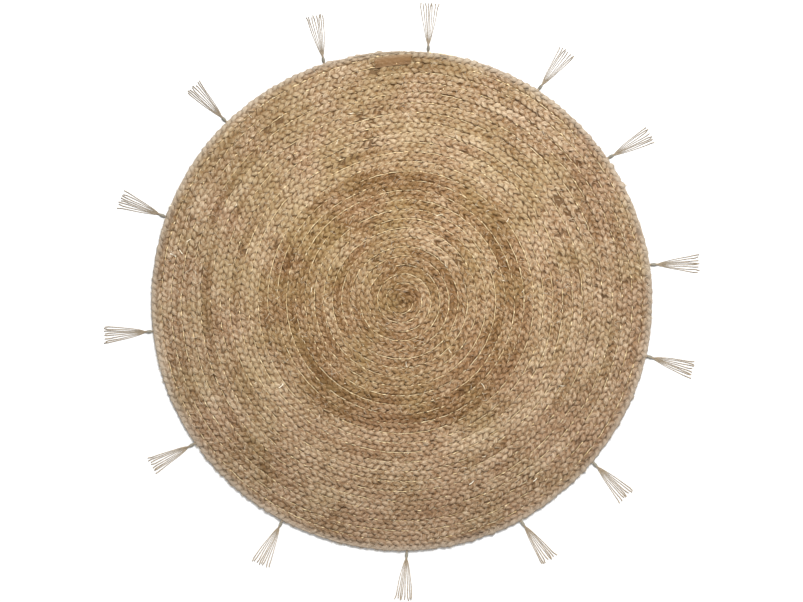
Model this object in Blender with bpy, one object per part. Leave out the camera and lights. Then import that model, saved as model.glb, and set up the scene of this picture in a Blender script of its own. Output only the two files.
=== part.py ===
"""Round braided jute rug with knotted tassels, lying flat.

A long three-strand braid is wound flat as a spiral and sewn edge to edge.
The mat is one solid whose turns stand up as a spiral ridge. Fourteen tassels
lie round it, each a knot, a bunched head and eight loose yarns.
The origin is the centre of the underside, and +Z is up.
"""

import math

import bmesh
import bpy
from mathutils import Matrix, Vector

# The mat
RUG_RADIUS = 0.600
BRAID_TURNS = 26
CENTRE_PITCH = 0.0216       # the braid is drawn tighter near the centre
MAT_THICKNESS = 0.0095
RIDGE_HEIGHT = 0.0032       # how far a turn rises over the seam beside it
RIDGE_SHARE = 0.90          # a ridge's width, as a share of the pitch
RIDGE_SINK = 0.0005         # how far a ridge's widest line lies under the seam's level
EDGE_ROUNDING = 0.0020
EDGE_SEGMENTS = 120
FINE_STEPS = 48             # straight steps to a turn, so that the steps of all turns line up
COARSE_STEPS = 24
COARSE_TURNS = 6            # the innermost turns take the coarse steps
START_STEP = -8             # the braid starts this many coarse steps before its first full turn

# The end of the braid
TAIL_ANGLE = math.radians(76)   # where the taper would run out
JOG_SHARE = 0.12            # the part of a turn in which it moves out to the next ring
TAIL_END_WIDTH = 0.20       # where the tapered end stops, as a share of the pitch

# The uneven outline: waves round the rim, amplitude and start
RIM_WAVES = [
    {"waves": 2, "amplitude": 0.0012, "start": 0.7},
    {"waves": 5, "amplitude": 0.0008, "start": 2.1},
]

# The tassels
CLEARANCE = 0.0003
KNOT_LENGTH = 0.014
KNOT_WIDTH = 0.0085
KNOT_HEIGHT = 0.0080
KNOT_LIFT = 0.0006          # knot and head hang just clear of the floor between mat and yarns
HEAD_LIFT = 0.0002
NECK_WIDTH = 0.0060
NECK_HEIGHT = 0.0055
HEAD_END = 0.040            # where the bunched head opens into loose yarns
HEAD_WIDTH = 0.0180
HEAD_HEIGHT = 0.0034
HEAD_OVERLAP = 0.004        # how far knot, head and yarns run into each other
TASSEL_LENGTH = 0.120
YARNS = 8
YARN_SIDE = 0.0016
ROOT_PITCH = 0.0021
TIP_PITCH = 0.0056
YARN_POINTS = 5
YARN_SWAY = 0.0016

# Where each tassel is tied and where it points, counter-clockwise from +X, in degrees
TASSELS = [
    {"root": 8.3, "points": 0.8},
    {"root": 34.7, "points": 29.0},
    {"root": 57.1, "points": 52.8},
    {"root": 83.9, "points": 88.6},
    {"root": 108.1, "points": 100.7},
    {"root": 134.4, "points": 133.8},
    {"root": 160.4, "points": 158.7},
    {"root": 187.0, "points": 184.5},
    {"root": 214.6, "points": 207.8},
    {"root": 241.5, "points": 242.7},
    {"root": 271.2, "points": 266.0},
    {"root": 298.4, "points": 306.3},
    {"root": 319.8, "points": 315.0},
    {"root": 347.3, "points": 342.6},
]


def clear_scene():
    for item in list(bpy.data.objects):
        bpy.data.objects.remove(item, do_unlink=True)


def make_collection(name):
    collection = bpy.data.collections.new(name)
    bpy.context.scene.collection.children.link(collection)
    return collection


def make_material(name, colour, roughness):
    material = bpy.data.materials.new(name)
    material.use_nodes = True
    shader = material.node_tree.nodes["Principled BSDF"]
    shader.inputs["Base Color"].default_value = (*colour, 1.0)
    shader.inputs["Roughness"].default_value = roughness
    shader.inputs["Metallic"].default_value = 0.0
    return material


def new_object(name, mesh, collection):
    item = bpy.data.objects.new(name, mesh)
    collection.objects.link(item)
    return item


def smooth_step(value):
    value = min(max(value, 0.0), 1.0)
    return value * value * (3.0 - 2.0 * value)


def ring_radius(ring):
    """Radius after a number of rings, whose pitch grows a little outwards."""
    growth = (RUG_RADIUS - CENTRE_PITCH * BRAID_TURNS) / BRAID_TURNS ** 2
    return CENTRE_PITCH * ring + growth * ring * ring


def braid_middle(turn):
    """The braid's middle line at a turn, in rings from the centre.

    Near the centre it is an even spiral. Towards the rim each turn is nearly
    a full ring, and moves out to the next ring over the last part of the turn.
    """
    whole = math.floor(turn)
    part = turn - whole
    if whole < 0:
        return turn + 0.5
    roundness = min(turn / (BRAID_TURNS - 1), 1.0)
    jog = smooth_step((part - 1.0 + JOG_SHARE) / JOG_SHARE)
    return whole + 0.5 + (1.0 - roundness) * part + roundness * jog


def braid_line(turn):
    """Middle radius and width of the braid at a turn, with its tapered end."""
    if turn > BRAID_TURNS - JOG_SHARE:
        inner = ring_radius(braid_middle(turn - 1.0) + 0.5)
        outer = RUG_RADIUS
    else:
        middle = braid_middle(turn)
        inner = ring_radius(max(middle - 0.5, 0.0))
        outer = ring_radius(middle + 0.5)
    return (inner + outer) / 2.0, outer - inner


def rim_offset(angle):
    return sum(wave["amplitude"] * math.sin(wave["waves"] * angle + wave["start"]) for wave in RIM_WAVES)


def spiral_points():
    """Points along the spiral, each with the braid's width there as a share of its full width."""
    full_width = ring_radius(BRAID_TURNS) - ring_radius(BRAID_TURNS - 1)
    coarse = [step / COARSE_STEPS for step in range(START_STEP, COARSE_TURNS * COARSE_STEPS)]
    fine = [step / FINE_STEPS for step in range(COARSE_TURNS * FINE_STEPS, BRAID_TURNS * FINE_STEPS)]
    points = []
    for turn in coarse + fine:
        radius, width = braid_line(turn)
        if turn > 1.0 and width < TAIL_END_WIDTH * full_width:
            break
        angle = TAIL_ANGLE - 2.0 * math.pi * turn
        place = Vector((radius * math.cos(angle), radius * math.sin(angle), 0.0))
        points.append((place, width / full_width))
    return points


def tube_mesh(name, points, depth, tilt, resolution):
    """A closed tube along points, each a place and a thickness factor, as a plain mesh."""
    curve = bpy.data.curves.new(name, "CURVE")
    curve.dimensions = "3D"
    curve.twist_mode = "Z_UP"
    curve.bevel_depth = depth
    curve.bevel_resolution = resolution
    curve.use_fill_caps = True
    spline = curve.splines.new("POLY")
    spline.points.add(len(points) - 1)
    for point, (place, factor) in zip(spline.points, points):
        point.co = (*place, 1.0)
        point.radius = factor
        point.tilt = tilt
    holder = new_object(name, curve, bpy.context.scene.collection)
    bpy.context.view_layer.update()
    evaluated = holder.evaluated_get(bpy.context.evaluated_depsgraph_get())
    mesh = bpy.data.meshes.new_from_object(evaluated)
    bpy.data.objects.remove(holder, do_unlink=True)
    return mesh


def edit_mesh(mesh, change):
    shape = bmesh.new()
    shape.from_mesh(mesh)
    change(shape)
    shape.to_mesh(mesh)
    shape.free()


def weld(shape):
    bmesh.ops.remove_doubles(shape, verts=shape.verts, dist=1e-6)
    bmesh.ops.recalc_face_normals(shape, faces=shape.faces)


def fuse(name, target, others, collection):
    """One solid from a mesh and the meshes that run into it."""
    body = new_object(name, target, collection)
    guests = [new_object(name + "_guest", mesh, collection) for mesh in others]
    for guest in guests:
        union = body.modifiers.new("union", "BOOLEAN")
        union.operation = "UNION"
        union.solver = "EXACT"
        union.object = guest
    bpy.context.view_layer.update()
    evaluated = body.evaluated_get(bpy.context.evaluated_depsgraph_get())
    fused = bpy.data.meshes.new_from_object(evaluated)
    body.modifiers.clear()
    body.data = fused
    for guest in guests:
        bpy.data.objects.remove(guest, do_unlink=True)
    return body


def finish_mesh(item, material):
    item.data.name = item.name
    item.data.materials.clear()
    item.data.materials.append(material)
    item.data.shade_smooth()
    item.data.set_sharp_from_angle(angle=math.radians(50))


def base_mesh():
    """The flat body of the mat, up to the level of the seams, with rounded edges."""
    seam_level = MAT_THICKNESS - RIDGE_HEIGHT
    shape = bmesh.new()
    bmesh.ops.create_cone(
        shape,
        cap_ends=True,
        segments=EDGE_SEGMENTS,
        radius1=RUG_RADIUS,
        radius2=RUG_RADIUS,
        depth=seam_level,
        matrix=Matrix.Translation((0.0, 0.0, seam_level / 2.0)),
    )
    rims = [edge for edge in shape.edges if any(len(face.verts) > 4 for face in edge.link_faces)]
    bmesh.ops.bevel(shape, geom=rims, offset=EDGE_ROUNDING, segments=2, profile=0.5, affect="EDGES")
    mesh = bpy.data.meshes.new("base")
    shape.to_mesh(mesh)
    shape.free()
    return mesh


def ridge_mesh():
    """The turns of the braid: one flattened tube along the spiral."""
    half_width = RIDGE_SHARE * (ring_radius(BRAID_TURNS) - ring_radius(BRAID_TURNS - 1)) / 2.0
    mesh = tube_mesh("ridge", spiral_points(), half_width, 0.0, 1)
    edit_mesh(mesh, weld)
    tallest = max(vertex.co.z for vertex in mesh.vertices)
    flatten = (RIDGE_HEIGHT + RIDGE_SINK) / tallest
    level = MAT_THICKNESS - RIDGE_HEIGHT - RIDGE_SINK
    mesh.transform(Matrix.Translation((0.0, 0.0, level)) @ Matrix.Diagonal((1.0, 1.0, flatten, 1.0)))
    return mesh


def waver_outline(shape):
    """Moves the rim in and out by a millimetre or two, less towards the centre."""
    for vertex in shape.verts:
        radius = math.hypot(vertex.co.x, vertex.co.y)
        angle = math.atan2(vertex.co.y, vertex.co.x)
        factor = 1.0 + rim_offset(angle) * radius / RUG_RADIUS ** 2
        vertex.co.x *= factor
        vertex.co.y *= factor


def make_disc(collection, material):
    disc = fuse("braided_disc", base_mesh(), [ridge_mesh()], collection)
    edit_mesh(disc.data, waver_outline)
    finish_mesh(disc, material)
    return disc


def knot_mesh():
    shape = bmesh.new()
    size = Matrix.Diagonal((KNOT_LENGTH / 2.0, KNOT_WIDTH / 2.0, KNOT_HEIGHT / 2.0, 1.0))
    place = Matrix.Translation((KNOT_LENGTH / 2.0, 0.0, KNOT_HEIGHT / 2.0 + KNOT_LIFT))
    turn = Matrix.Rotation(math.radians(90), 4, "Y")
    bmesh.ops.create_uvsphere(shape, u_segments=8, v_segments=6, radius=1.0, matrix=place @ size @ turn)
    mesh = bpy.data.meshes.new("knot")
    shape.to_mesh(mesh)
    shape.free()
    return mesh


def head_mesh():
    """The bunched yarns behind the knot: a cone that widens and flattens outwards."""
    start = KNOT_LENGTH - HEAD_OVERLAP
    length = HEAD_END - start
    shape = bmesh.new()
    place = Matrix.Translation((start + length / 2.0, 0.0, 0.0)) @ Matrix.Rotation(math.radians(90), 4, "Y")
    bmesh.ops.create_cone(
        shape,
        cap_ends=True,
        segments=8,
        radius1=0.5,
        radius2=0.5,
        depth=length,
        matrix=place @ Matrix.Rotation(math.radians(22.5), 4, "Z"),
    )
    side = 0.5 * math.cos(math.radians(22.5))
    for vertex in shape.verts:
        along = (vertex.co.x - start) / length
        width = NECK_WIDTH + (HEAD_WIDTH - NECK_WIDTH) * along
        height = NECK_HEIGHT + (HEAD_HEIGHT - NECK_HEIGHT) * along
        vertex.co.y *= width
        vertex.co.z = (vertex.co.z / side + 1.0) / 2.0 * height + HEAD_LIFT
    bmesh.ops.recalc_face_normals(shape, faces=shape.faces)
    mesh = bpy.data.meshes.new("head")
    shape.to_mesh(mesh)
    shape.free()
    return mesh


def yarn_points(yarn, tassel):
    """One loose yarn: it fans out from the head and sways a little more towards its tip."""
    across = yarn - (YARNS - 1) / 2.0
    length = TASSEL_LENGTH - 0.003 * (1.0 + math.sin(2.3 * yarn + 1.7 * tassel))
    root = HEAD_END - HEAD_OVERLAP
    points = []
    for step in range(YARN_POINTS):
        along = step / (YARN_POINTS - 1)
        pitch = ROOT_PITCH + (TIP_PITCH - ROOT_PITCH) * along
        sway = YARN_SWAY * along * math.sin(5.5 * along + 0.55 * yarn + 1.3 * tassel)
        place = Vector((root + (length - root) * along, across * pitch + sway, YARN_SIDE / 2.0))
        points.append((place, 1.0))
    return points


def yarns_mesh(tassel):
    """The loose yarns of one tassel, side by side and apart."""
    shape = bmesh.new()
    for yarn in range(YARNS):
        points = yarn_points(yarn, tassel)
        shape.from_mesh(tube_mesh("yarn", points, YARN_SIDE / math.sqrt(2.0), math.radians(45), 0))
    mesh = bpy.data.meshes.new("yarns")
    shape.to_mesh(mesh)
    shape.free()
    edit_mesh(mesh, weld)
    return mesh


def make_tassel(number, row, collection, material):
    root_angle = math.radians(row["root"])
    rim = RUG_RADIUS + rim_offset(root_angle) + CLEARANCE
    place = Matrix.Translation((rim * math.cos(root_angle), rim * math.sin(root_angle), 0.0))
    turn = Matrix.Rotation(math.radians(row["points"]), 4, "Z")
    tassel = fuse(f"tassel_{number:02d}", head_mesh(), [knot_mesh(), yarns_mesh(number)], collection)
    tassel.data.transform(place @ turn)
    finish_mesh(tassel, material)
    return tassel


def main():
    clear_scene()
    collection = make_collection("round_jute_rug")
    jute = make_material("jute_braid", (0.42, 0.28, 0.15), 0.85)
    yarn = make_material("jute_yarn", (0.45, 0.37, 0.28), 0.9)
    make_disc(collection, jute)
    for number, row in enumerate(TASSELS, start=1):
        make_tassel(number, row, collection, yarn)


main()
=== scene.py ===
# Round braided jute rug with knotted tassels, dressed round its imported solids.
# One braid of three strands winds out from the centre as a flat spiral, sewn edge to edge with gold thread.
import math

import bpy
import numpy as np
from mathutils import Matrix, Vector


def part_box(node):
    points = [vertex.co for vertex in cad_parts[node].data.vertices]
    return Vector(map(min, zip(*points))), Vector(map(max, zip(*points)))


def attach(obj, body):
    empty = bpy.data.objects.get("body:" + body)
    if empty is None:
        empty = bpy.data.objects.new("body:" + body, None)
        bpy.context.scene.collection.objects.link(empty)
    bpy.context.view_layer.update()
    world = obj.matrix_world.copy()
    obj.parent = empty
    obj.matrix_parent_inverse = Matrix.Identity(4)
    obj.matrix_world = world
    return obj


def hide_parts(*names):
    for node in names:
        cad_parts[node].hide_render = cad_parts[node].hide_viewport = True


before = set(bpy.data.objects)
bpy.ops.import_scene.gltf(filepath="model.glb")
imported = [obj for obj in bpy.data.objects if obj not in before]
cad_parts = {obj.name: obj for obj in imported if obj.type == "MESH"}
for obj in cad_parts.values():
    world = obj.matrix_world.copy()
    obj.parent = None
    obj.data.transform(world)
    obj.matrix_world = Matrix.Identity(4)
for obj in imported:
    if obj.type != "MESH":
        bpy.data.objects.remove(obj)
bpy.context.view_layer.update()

discLow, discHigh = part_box("braided_disc")
rugRadius = (discHigh[0] - discLow[0] + discHigh[1] - discLow[1]) / 4.0
matThickness = discHigh[2] - discLow[2]


def addNode(tree, kind, sockets=None, output=0, **settings):  # returns one of the new node's outputs
    node = tree.nodes.new(kind)
    for name, value in settings.items():
        setattr(node, name, value)
    usable = [socket for socket in node.inputs if socket.enabled]
    for key, value in (sockets or {}).items():
        socket = usable[key] if isinstance(key, int) else next(one for one in usable if one.name == key)
        if isinstance(value, bpy.types.NodeSocket):
            tree.links.new(value, socket)
        else:
            socket.default_value = value
    outputs = [socket for socket in node.outputs if socket.enabled]
    if not outputs:
        return node
    if isinstance(output, int):
        return outputs[output]
    return next(one for one in outputs if one.name == output)


def hexColour(text):  # an sRGB hex value as linear RGBA
    channels = [int(text[index:index + 2], 16) / 255.0 for index in (1, 3, 5)]
    return tuple(c / 12.92 if c <= 0.04045 else ((c + 0.055) / 1.055) ** 2.4 for c in channels) + (1.0,)


def newTree(name, inputs):  # a geometry tree with named inputs; returns it and the sockets that carry them
    tree = bpy.data.node_groups.new(name, "GeometryNodeTree")
    tree.interface.new_socket(name="Geometry", in_out="INPUT", socket_type="NodeSocketGeometry")
    tree.interface.new_socket(name="Geometry", in_out="OUTPUT", socket_type="NodeSocketGeometry")
    kinds = {float: "NodeSocketFloat", int: "NodeSocketInt"}
    for label, value in inputs.items():
        kind = kinds.get(type(value), "NodeSocketMaterial")
        socket = tree.interface.new_socket(name=label, in_out="INPUT", socket_type=kind)
        if value is not None:
            socket.default_value = value
    entry = tree.nodes.new("NodeGroupInput")
    return tree, {socket.name: socket for socket in entry.outputs if socket.name}


def storeFibre(tree, geometry, run):  # each point's place in the fibre pattern: along, across and up
    spot = addNode(tree, "GeometryNodeInputNamedAttribute", {"Name": "section"}, data_type="FLOAT_VECTOR")
    x = addNode(tree, "ShaderNodeSeparateXYZ", {0: spot}, "X")
    fibre = addNode(tree, "ShaderNodeCombineXYZ", {0: run, 1: x, 2: x.node.outputs["Y"]})
    return addNode(tree, "GeometryNodeStoreNamedAttribute", {"Geometry": geometry, "Name": "fibre",
                   "Value": fibre}, data_type="FLOAT_VECTOR", domain="POINT")


def finishTree(tree, geometry, material):
    geometry = addNode(tree, "GeometryNodeSetShadeSmooth", {"Geometry": geometry})
    geometry = addNode(tree, "GeometryNodeRealizeInstances", {"Geometry": geometry})
    geometry = addNode(tree, "GeometryNodeSetMaterial", {"Geometry": geometry, "Material": material})
    addNode(tree, "NodeGroupOutput", {0: geometry})


def growPiece(name, guide, tree, values):  # runs a tree on its guide and keeps the result as a plain mesh
    modifier = guide.modifiers.new(tree.name, "NODES")
    modifier.node_group = tree
    for item in tree.interface.items_tree:
        if item.name in values:
            modifier[item.identifier] = values[item.name]
    bpy.context.view_layer.update()
    depsgraph = bpy.context.evaluated_depsgraph_get()
    mesh = bpy.data.meshes.new_from_object(
        guide.evaluated_get(depsgraph), preserve_all_data_layers=True, depsgraph=depsgraph
    )
    guide.modifiers.clear()
    bpy.data.objects.remove(guide, do_unlink=True)
    mesh.name = name
    piece = bpy.data.objects.new(name, mesh)
    bpy.context.scene.collection.objects.link(piece)
    triangles = sum(len(polygon.vertices) - 2 for polygon in mesh.polygons)
    print(f"{name}: {triangles} triangles")
    return piece


def newGuide(name, points, edges, attributes):  # a line of points that a tree grows on
    mesh = bpy.data.meshes.new(name)
    mesh.from_pydata([tuple(point) for point in points], edges, [])
    for label, values in attributes.items():
        values = np.asarray(values, dtype=np.float32)
        kind, field = ("FLOAT_VECTOR", "vector") if values.ndim == 2 else ("FLOAT", "value")
        mesh.attributes.new(label, kind, "POINT").data.foreach_set(field, values.ravel())
    guide = bpy.data.objects.new(name, mesh)
    bpy.context.scene.collection.objects.link(guide)
    return guide


# the spiral that the braid follows, the same as the solid's
spiral = {
    "turns": 26,
    "centrePitch": 0.0216,      # the braid is drawn tighter near the centre
    "firstTurn": -0.42,         # so that the strands start close to the very centre
    "tailAngle": 76.0,          # degrees, where the end's taper would run out
    "jogShare": 0.12,           # the part of a turn in which it moves out to the next ring
    "tailEndWidth": 0.20,       # share of the braid's width at which the taper is cut off
    "samples": 240,             # to a turn, before the points are spaced evenly
}
rimWaves = [                    # the outline is a little out of round
    {"waves": 2, "amplitude": 0.0012, "start": 0.7},
    {"waves": 5, "amplitude": 0.0008, "start": 2.1},
]


def smoothStep(value):
    value = np.clip(value, 0.0, 1.0)
    return value * value * (3.0 - 2.0 * value)


def ringRadius(ring):
    growth = (rugRadius - spiral["centrePitch"] * spiral["turns"]) / spiral["turns"] ** 2
    return spiral["centrePitch"] * ring + growth * ring ** 2


def braidMiddle(turn):  # in rings from the centre: an even spiral there, nearly full rings at the rim
    whole = np.floor(turn)
    part = turn - whole
    roundness = np.clip(turn / (spiral["turns"] - 1), 0.0, 1.0)
    jog = smoothStep((part - 1.0 + spiral["jogShare"]) / spiral["jogShare"])
    middle = whole + 0.5 + (1.0 - roundness) * part + roundness * jog
    return np.where(turn < 0.0, turn + 0.5, middle)


def braidEdges(turn):
    middle = braidMiddle(turn)
    tail = turn > spiral["turns"] - spiral["jogShare"]
    inner = ringRadius(np.where(tail, braidMiddle(turn - 1.0) + 0.5, np.maximum(middle - 0.5, 0.0)))
    outer = np.where(tail, rugRadius, ringRadius(middle + 0.5))
    return inner, outer


def rimOffset(angle):
    return sum(wave["amplitude"] * np.sin(wave["waves"] * angle + wave["start"]) for wave in rimWaves)


def spiralPath(firstTurn, lastTurn, spacing, shift=0.0):  # shift is in braid widths, outwards
    turn = np.arange(firstTurn, lastTurn, 1.0 / spiral["samples"])
    inner, outer = braidEdges(turn)
    fullWidth = rugRadius - ringRadius(spiral["turns"] - 1)
    keep = (turn < 1.0) | (outer - inner > spiral["tailEndWidth"] * fullWidth)
    turn, inner, outer = turn[keep], inner[keep], outer[keep]
    radius = (inner + outer) / 2.0 + shift * (outer - inner)
    angle = math.radians(spiral["tailAngle"]) - 2.0 * math.pi * turn
    radius = radius * (1.0 + rimOffset(angle) * radius / rugRadius ** 2)
    return evenPath(radius * np.cos(angle), radius * np.sin(angle), (outer - inner) / fullWidth, spacing)


def edgePath(inset, spacing):  # once round, a little inside the rim
    turn = np.linspace(0.0, 1.0, spiral["turns"] * spiral["samples"])
    angle = math.radians(spiral["tailAngle"]) - 2.0 * math.pi * turn
    radius = rugRadius - inset + rimOffset(angle)
    return evenPath(radius * np.cos(angle), radius * np.sin(angle), np.ones_like(turn), spacing)


def evenPath(x, y, width, spacing):  # the points spaced evenly, and what a tree needs to know at each
    steps = np.hypot(np.diff(x), np.diff(y))
    length = np.concatenate([[0.0], np.cumsum(steps)])
    along = np.arange(0.0, length[-1], spacing)
    x = np.interp(along, length, x)
    y = np.interp(along, length, y)
    width = np.interp(along, length, width)
    forward = np.stack([np.gradient(x), np.gradient(y)], axis=1)
    forward /= np.linalg.norm(forward, axis=1, keepdims=True)
    zero = np.zeros_like(x)
    points = np.stack([x, y, zero], axis=1)
    outward = np.stack([-forward[:, 1], forward[:, 0], zero], axis=1)
    edges = [(index, index + 1) for index in range(len(points) - 1)]
    return points, edges, {"along": along, "outward": outward, "width": width}


def newMaterial(name):
    material = bpy.data.materials.new(name)
    material.use_nodes = True
    material.node_tree.nodes.clear()
    return material, material.node_tree


jute = {
    # the tones that the fibre runs through, and where each stands on the scale of tone
    "dark": "#63482B",
    "brown": "#876946",
    "tan": "#A38A6C",
    "pale": "#C9B495",
    "toneStops": {"dark": 0.10, "brown": 0.30, "tan": 0.52, "pale": 0.88},
    # what the tones lean to from place to place
    "golden": "#948052",
    "rosy": "#A27A63",
    "rim": "#A79C8D",                   # pale grey mixed in at the outer edge
    "paintedShade": "#764A0A",                  # painted shade: the colour laid into crevices, down strands' sides and where they dive under
    # sizes of the patterns, in metres
    "fibreWidth": 0.0024,               # a clump of fibres, which finer ones divide
    "fibreLength": 0.008,
    "twistPitch": 0.060,                # the strands are barely spun
    "lumpLength": 0.019,                # between changes of tone along a strand
    "lumpWidth": 0.025,
    "patchSize": 0.060,                 # patches of tone that cross the turns
    "hueSize": 0.130,                   # and of hue
    "feedLength": 0.340,                # of braid between changes in the fibre that was fed in
    "bumpDepth": 0.0024,
    # how much each pattern adds to the tone
    "fibreContrast": 1.75,
    "lumpContrast": 0.28,
    "patchContrast": 0.30,
    "feedContrast": 1.15,
    "toneDrop": 1.848,                  # brings their sum down to the tone of the band
    # each change starts at the first value of its range and is fullest at the second
    "hueSeed": 1.7,
    "hueSlope": (-0.06, 0.14, 0.0),     # to a metre: more golden towards the far side
    "feedHue": 0.2,                     # share of the hue that comes from the feed
    "goldenRange": (0.48, 0.63),
    "goldenMost": 0.36,
    "rosyRange": (0.48, 0.36),
    "rosyMost": 0.16,
    "fadeStart": 0.250,                 # radius past which the fibre turns greyer
    "fadeMost": 0.35,
    "fadeSaturation": 0.66,
    "rimRange": (0.020, 0.004),         # metres inside the rim
    "rimMost": 0.62,
    # where the painted shade falls, and how dark it is at most
    "creviceRange": (0.0066, 0.0036),   # heights over the floor
    "creviceMost": 0.90,
    "flankRange": (-0.0028, -0.0002),   # metres below a strand's own middle, so both lie over it
    "flankMost": 0.50,
    "divingRange": (0.75, -0.25),       # 1 where a strand lies on top, -1 where it passes under
    "divingMost": 0.36,
    "creaseShades": (0.72, 1.10),       # how dark the painted crease shade is on the near side and the far side
    "endPlace": (0.0, 0.590, 0.0),      # where the braid's end is tucked under
    "endRange": (0.180, 0.060),         # metres from there
    "endTurns": (0.045, 0.025),         # metres inside the rim
    "endShade": 0.17,
    "shineRange": (0.35, 0.7),          # from dark fibres to pale ones
    "roughness": (0.8, 0.5),            # matt, and shinier where fibres are pale
    "specular": 0.15,                   # rough plant fibre has next to no gloss
}
ringTones = [                           # the tone of each band of turns, from the centre to the rim
    {"radius": 0.00, "tone": 0.36},
    {"radius": 0.03, "tone": 0.42},
    {"radius": 0.09, "tone": 0.46},
    {"radius": 0.20, "tone": 0.51},
    {"radius": 0.25, "tone": 0.42},
    {"radius": 0.295, "tone": 0.41},
    {"radius": 0.320, "tone": 0.53},
    {"radius": 0.35, "tone": 0.60},
    {"radius": 0.43, "tone": 0.57},
    {"radius": 0.50, "tone": 0.53},
    {"radius": 0.60, "tone": 0.50},
]


def makeJute(name, settings):  # retted bast fibre, loosely spun: matt, streaky, uneven by the handful
    material, tree = newMaterial(name)
    straight = addNode(tree, "ShaderNodeAttribute", {}, "Vector", attribute_name="fibre")
    place = addNode(tree, "ShaderNodeTexCoord", {}, "Object")
    flat = addNode(tree, "ShaderNodeVectorMath", {0: place, 1: (1.0, 1.0, 0.0)}, operation="MULTIPLY")
    radius = addNode(tree, "ShaderNodeVectorMath", {0: flat}, "Value", operation="LENGTH")
    # fine fibres that wind slowly round the strand
    run = addNode(tree, "ShaderNodeSeparateXYZ", {0: straight}, "X")
    angle = addNode(tree, "ShaderNodeMath", {0: run, 1: 2.0 * math.pi / settings["twistPitch"]},
                    operation="MULTIPLY")
    twisted = addNode(tree, "ShaderNodeVectorRotate", {"Vector": straight, "Angle": angle},
                      rotation_type="X_AXIS")
    across = 1.0 / settings["fibreWidth"]
    stretch = (1.0 / settings["fibreLength"], across, across)
    fibreSpace = addNode(tree, "ShaderNodeVectorMath", {0: twisted, 1: stretch}, operation="MULTIPLY")
    fibres = addNode(tree, "ShaderNodeTexNoise", {"Vector": fibreSpace, "Scale": 1.0, "Detail": 3.0,
                     "Roughness": 0.65})
    # handfuls of fibre along a strand
    across = 1.0 / settings["lumpWidth"]
    stretch = (1.0 / settings["lumpLength"], across, across)
    lumpSpace = addNode(tree, "ShaderNodeVectorMath", {0: straight, 1: stretch}, operation="MULTIPLY")
    lumps = addNode(tree, "ShaderNodeTexNoise", {"Vector": lumpSpace, "Scale": 1.0, "Detail": 1.0}, "Color")
    lumpTone = addNode(tree, "ShaderNodeSeparateColor", {0: lumps}, "Red")
    # patches of tone and of hue that cross the turns
    patches = addNode(tree, "ShaderNodeTexNoise", {"Vector": place, "Scale": 1.0 / settings["patchSize"],
                      "Detail": 4.0, "Roughness": 0.6})
    hues = addNode(tree, "ShaderNodeTexNoise", {"Vector": place, "W": settings["hueSeed"],
                   "Scale": 1.0 / settings["hueSize"], "Detail": 2.0, "Roughness": 0.6},
                   noise_dimensions="4D")
    # the roving that feeds the braid changes every few handspans
    along = addNode(tree, "ShaderNodeAttribute", {}, "Fac", attribute_name="along")
    feedSpace = addNode(tree, "ShaderNodeCombineXYZ", {0: along})
    feed = addNode(tree, "ShaderNodeTexNoise", {"Vector": feedSpace, "Scale": 1.0 / settings["feedLength"],
                   "Detail": 3.0, "Roughness": 0.6}, "Color")
    feedTone = addNode(tree, "ShaderNodeSeparateColor", {0: feed}, "Red")
    feedHue = feedTone.node.outputs["Green"]
    # bands of turns made from paler or darker fibre
    share = addNode(tree, "ShaderNodeMath", {0: radius, 1: rugRadius}, operation="DIVIDE")
    bands = addNode(tree, "ShaderNodeFloatCurve", {"Value": share})
    points = bands.node.mapping.curves[0].points
    for row in ringTones[1:-1]:
        points.new(row["radius"] / rugRadius, row["tone"])
    points[0].location = (0.0, ringTones[0]["tone"])
    points[len(points) - 1].location = (1.0, ringTones[-1]["tone"])
    bands.node.mapping.update()
    # handling has browned the outer turns where the braid's end is tucked under
    fromEnd = addNode(tree, "ShaderNodeVectorMath", {0: place, 1: settings["endPlace"]}, "Value",
                      operation="DISTANCE")
    start, full = settings["endRange"]
    handled = addNode(tree, "ShaderNodeMapRange", {"Value": fromEnd, "From Min": start, "From Max": full,
                      "To Max": settings["endShade"]})
    start, full = settings["endTurns"]
    outermost = addNode(tree, "ShaderNodeMapRange", {"Value": radius, "From Min": rugRadius - start,
                        "From Max": rugRadius - full})
    handled = addNode(tree, "ShaderNodeMath", {0: handled, 1: outermost}, operation="MULTIPLY")
    bands = addNode(tree, "ShaderNodeMath", {0: bands, 1: handled}, operation="SUBTRACT")
    # fibres, handfuls, patches, feed and bands together choose a tone
    tone = 0.0
    for pattern, contrast in ((fibres, "fibreContrast"), (lumpTone, "lumpContrast"),
                              (patches, "patchContrast"), (feedTone, "feedContrast")):
        tone = addNode(tree, "ShaderNodeMath", {0: pattern, 1: settings[contrast], 2: tone},
                       operation="MULTIPLY_ADD")
    tone = addNode(tree, "ShaderNodeMath", {0: tone, 1: bands}, operation="ADD")
    tone = addNode(tree, "ShaderNodeMath", {0: tone, 1: settings["toneDrop"]}, operation="SUBTRACT")
    ramp = addNode(tree, "ShaderNodeValToRGB", {0: tone})
    stops = ramp.node.color_ramp.elements
    stops[0].position, stops[1].position = settings["toneStops"]["dark"], settings["toneStops"]["pale"]
    stops[0].color, stops[1].color = hexColour(settings["dark"]), hexColour(settings["pale"])
    for label in ("brown", "tan"):
        stop = stops.new(settings["toneStops"][label])
        stop.color = hexColour(settings[label])
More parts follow.
